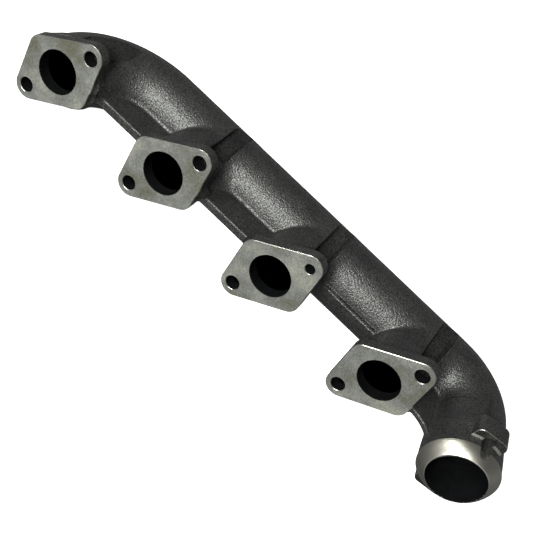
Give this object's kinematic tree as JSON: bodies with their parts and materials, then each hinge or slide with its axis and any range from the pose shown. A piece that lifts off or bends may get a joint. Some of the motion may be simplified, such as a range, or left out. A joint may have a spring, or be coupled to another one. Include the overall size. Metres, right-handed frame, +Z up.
{
  "type": "exhaust manifold",
  "caption": "Cast-iron log exhaust manifold with a row of two-bolt port flanges and an angled two-ear outlet with a turned ball seat.",
  "frame": {"origin": "middle of the row of port centres, on the plane of the machined head faces", "axes": "+X along the row of ports towards the outlet end, +Y from the head into the manifold, +Z up across the ports"},
  "size_m": [0.5082, 0.1277, 0.0867],
  "materials": {
    "cast_skin": "dark sand-cast skin, satin",
    "machined_face": "milled flat, lightly mottled",
    "turned_seat": "turned, bright"
  },
  "bodies": {
    "root": {"log_end_bend": "cast_skin", "log_section_2": "cast_skin", "log_section_3": "cast_skin", "log_section_4": "cast_skin", "outlet_ball_seat": "turned_seat", "outlet_ear_flange": "cast_skin", "outlet_elbow": "cast_skin", "outlet_gusset": "cast_skin", "outlet_pipe": "cast_skin", "parting_rib_3_4": "cast_skin", "port_flange_1": "machined_face", "port_flange_2": "machined_face", "port_flange_3": "machined_face", "port_flange_4": "machined_face", "port_neck_1": "cast_skin", "port_neck_2": "cast_skin", "port_neck_3": "cast_skin", "port_neck_4": "cast_skin", "tie_web_1_2": "cast_skin", "tie_web_2_3": "cast_skin"}
  },
  "joints": []
}
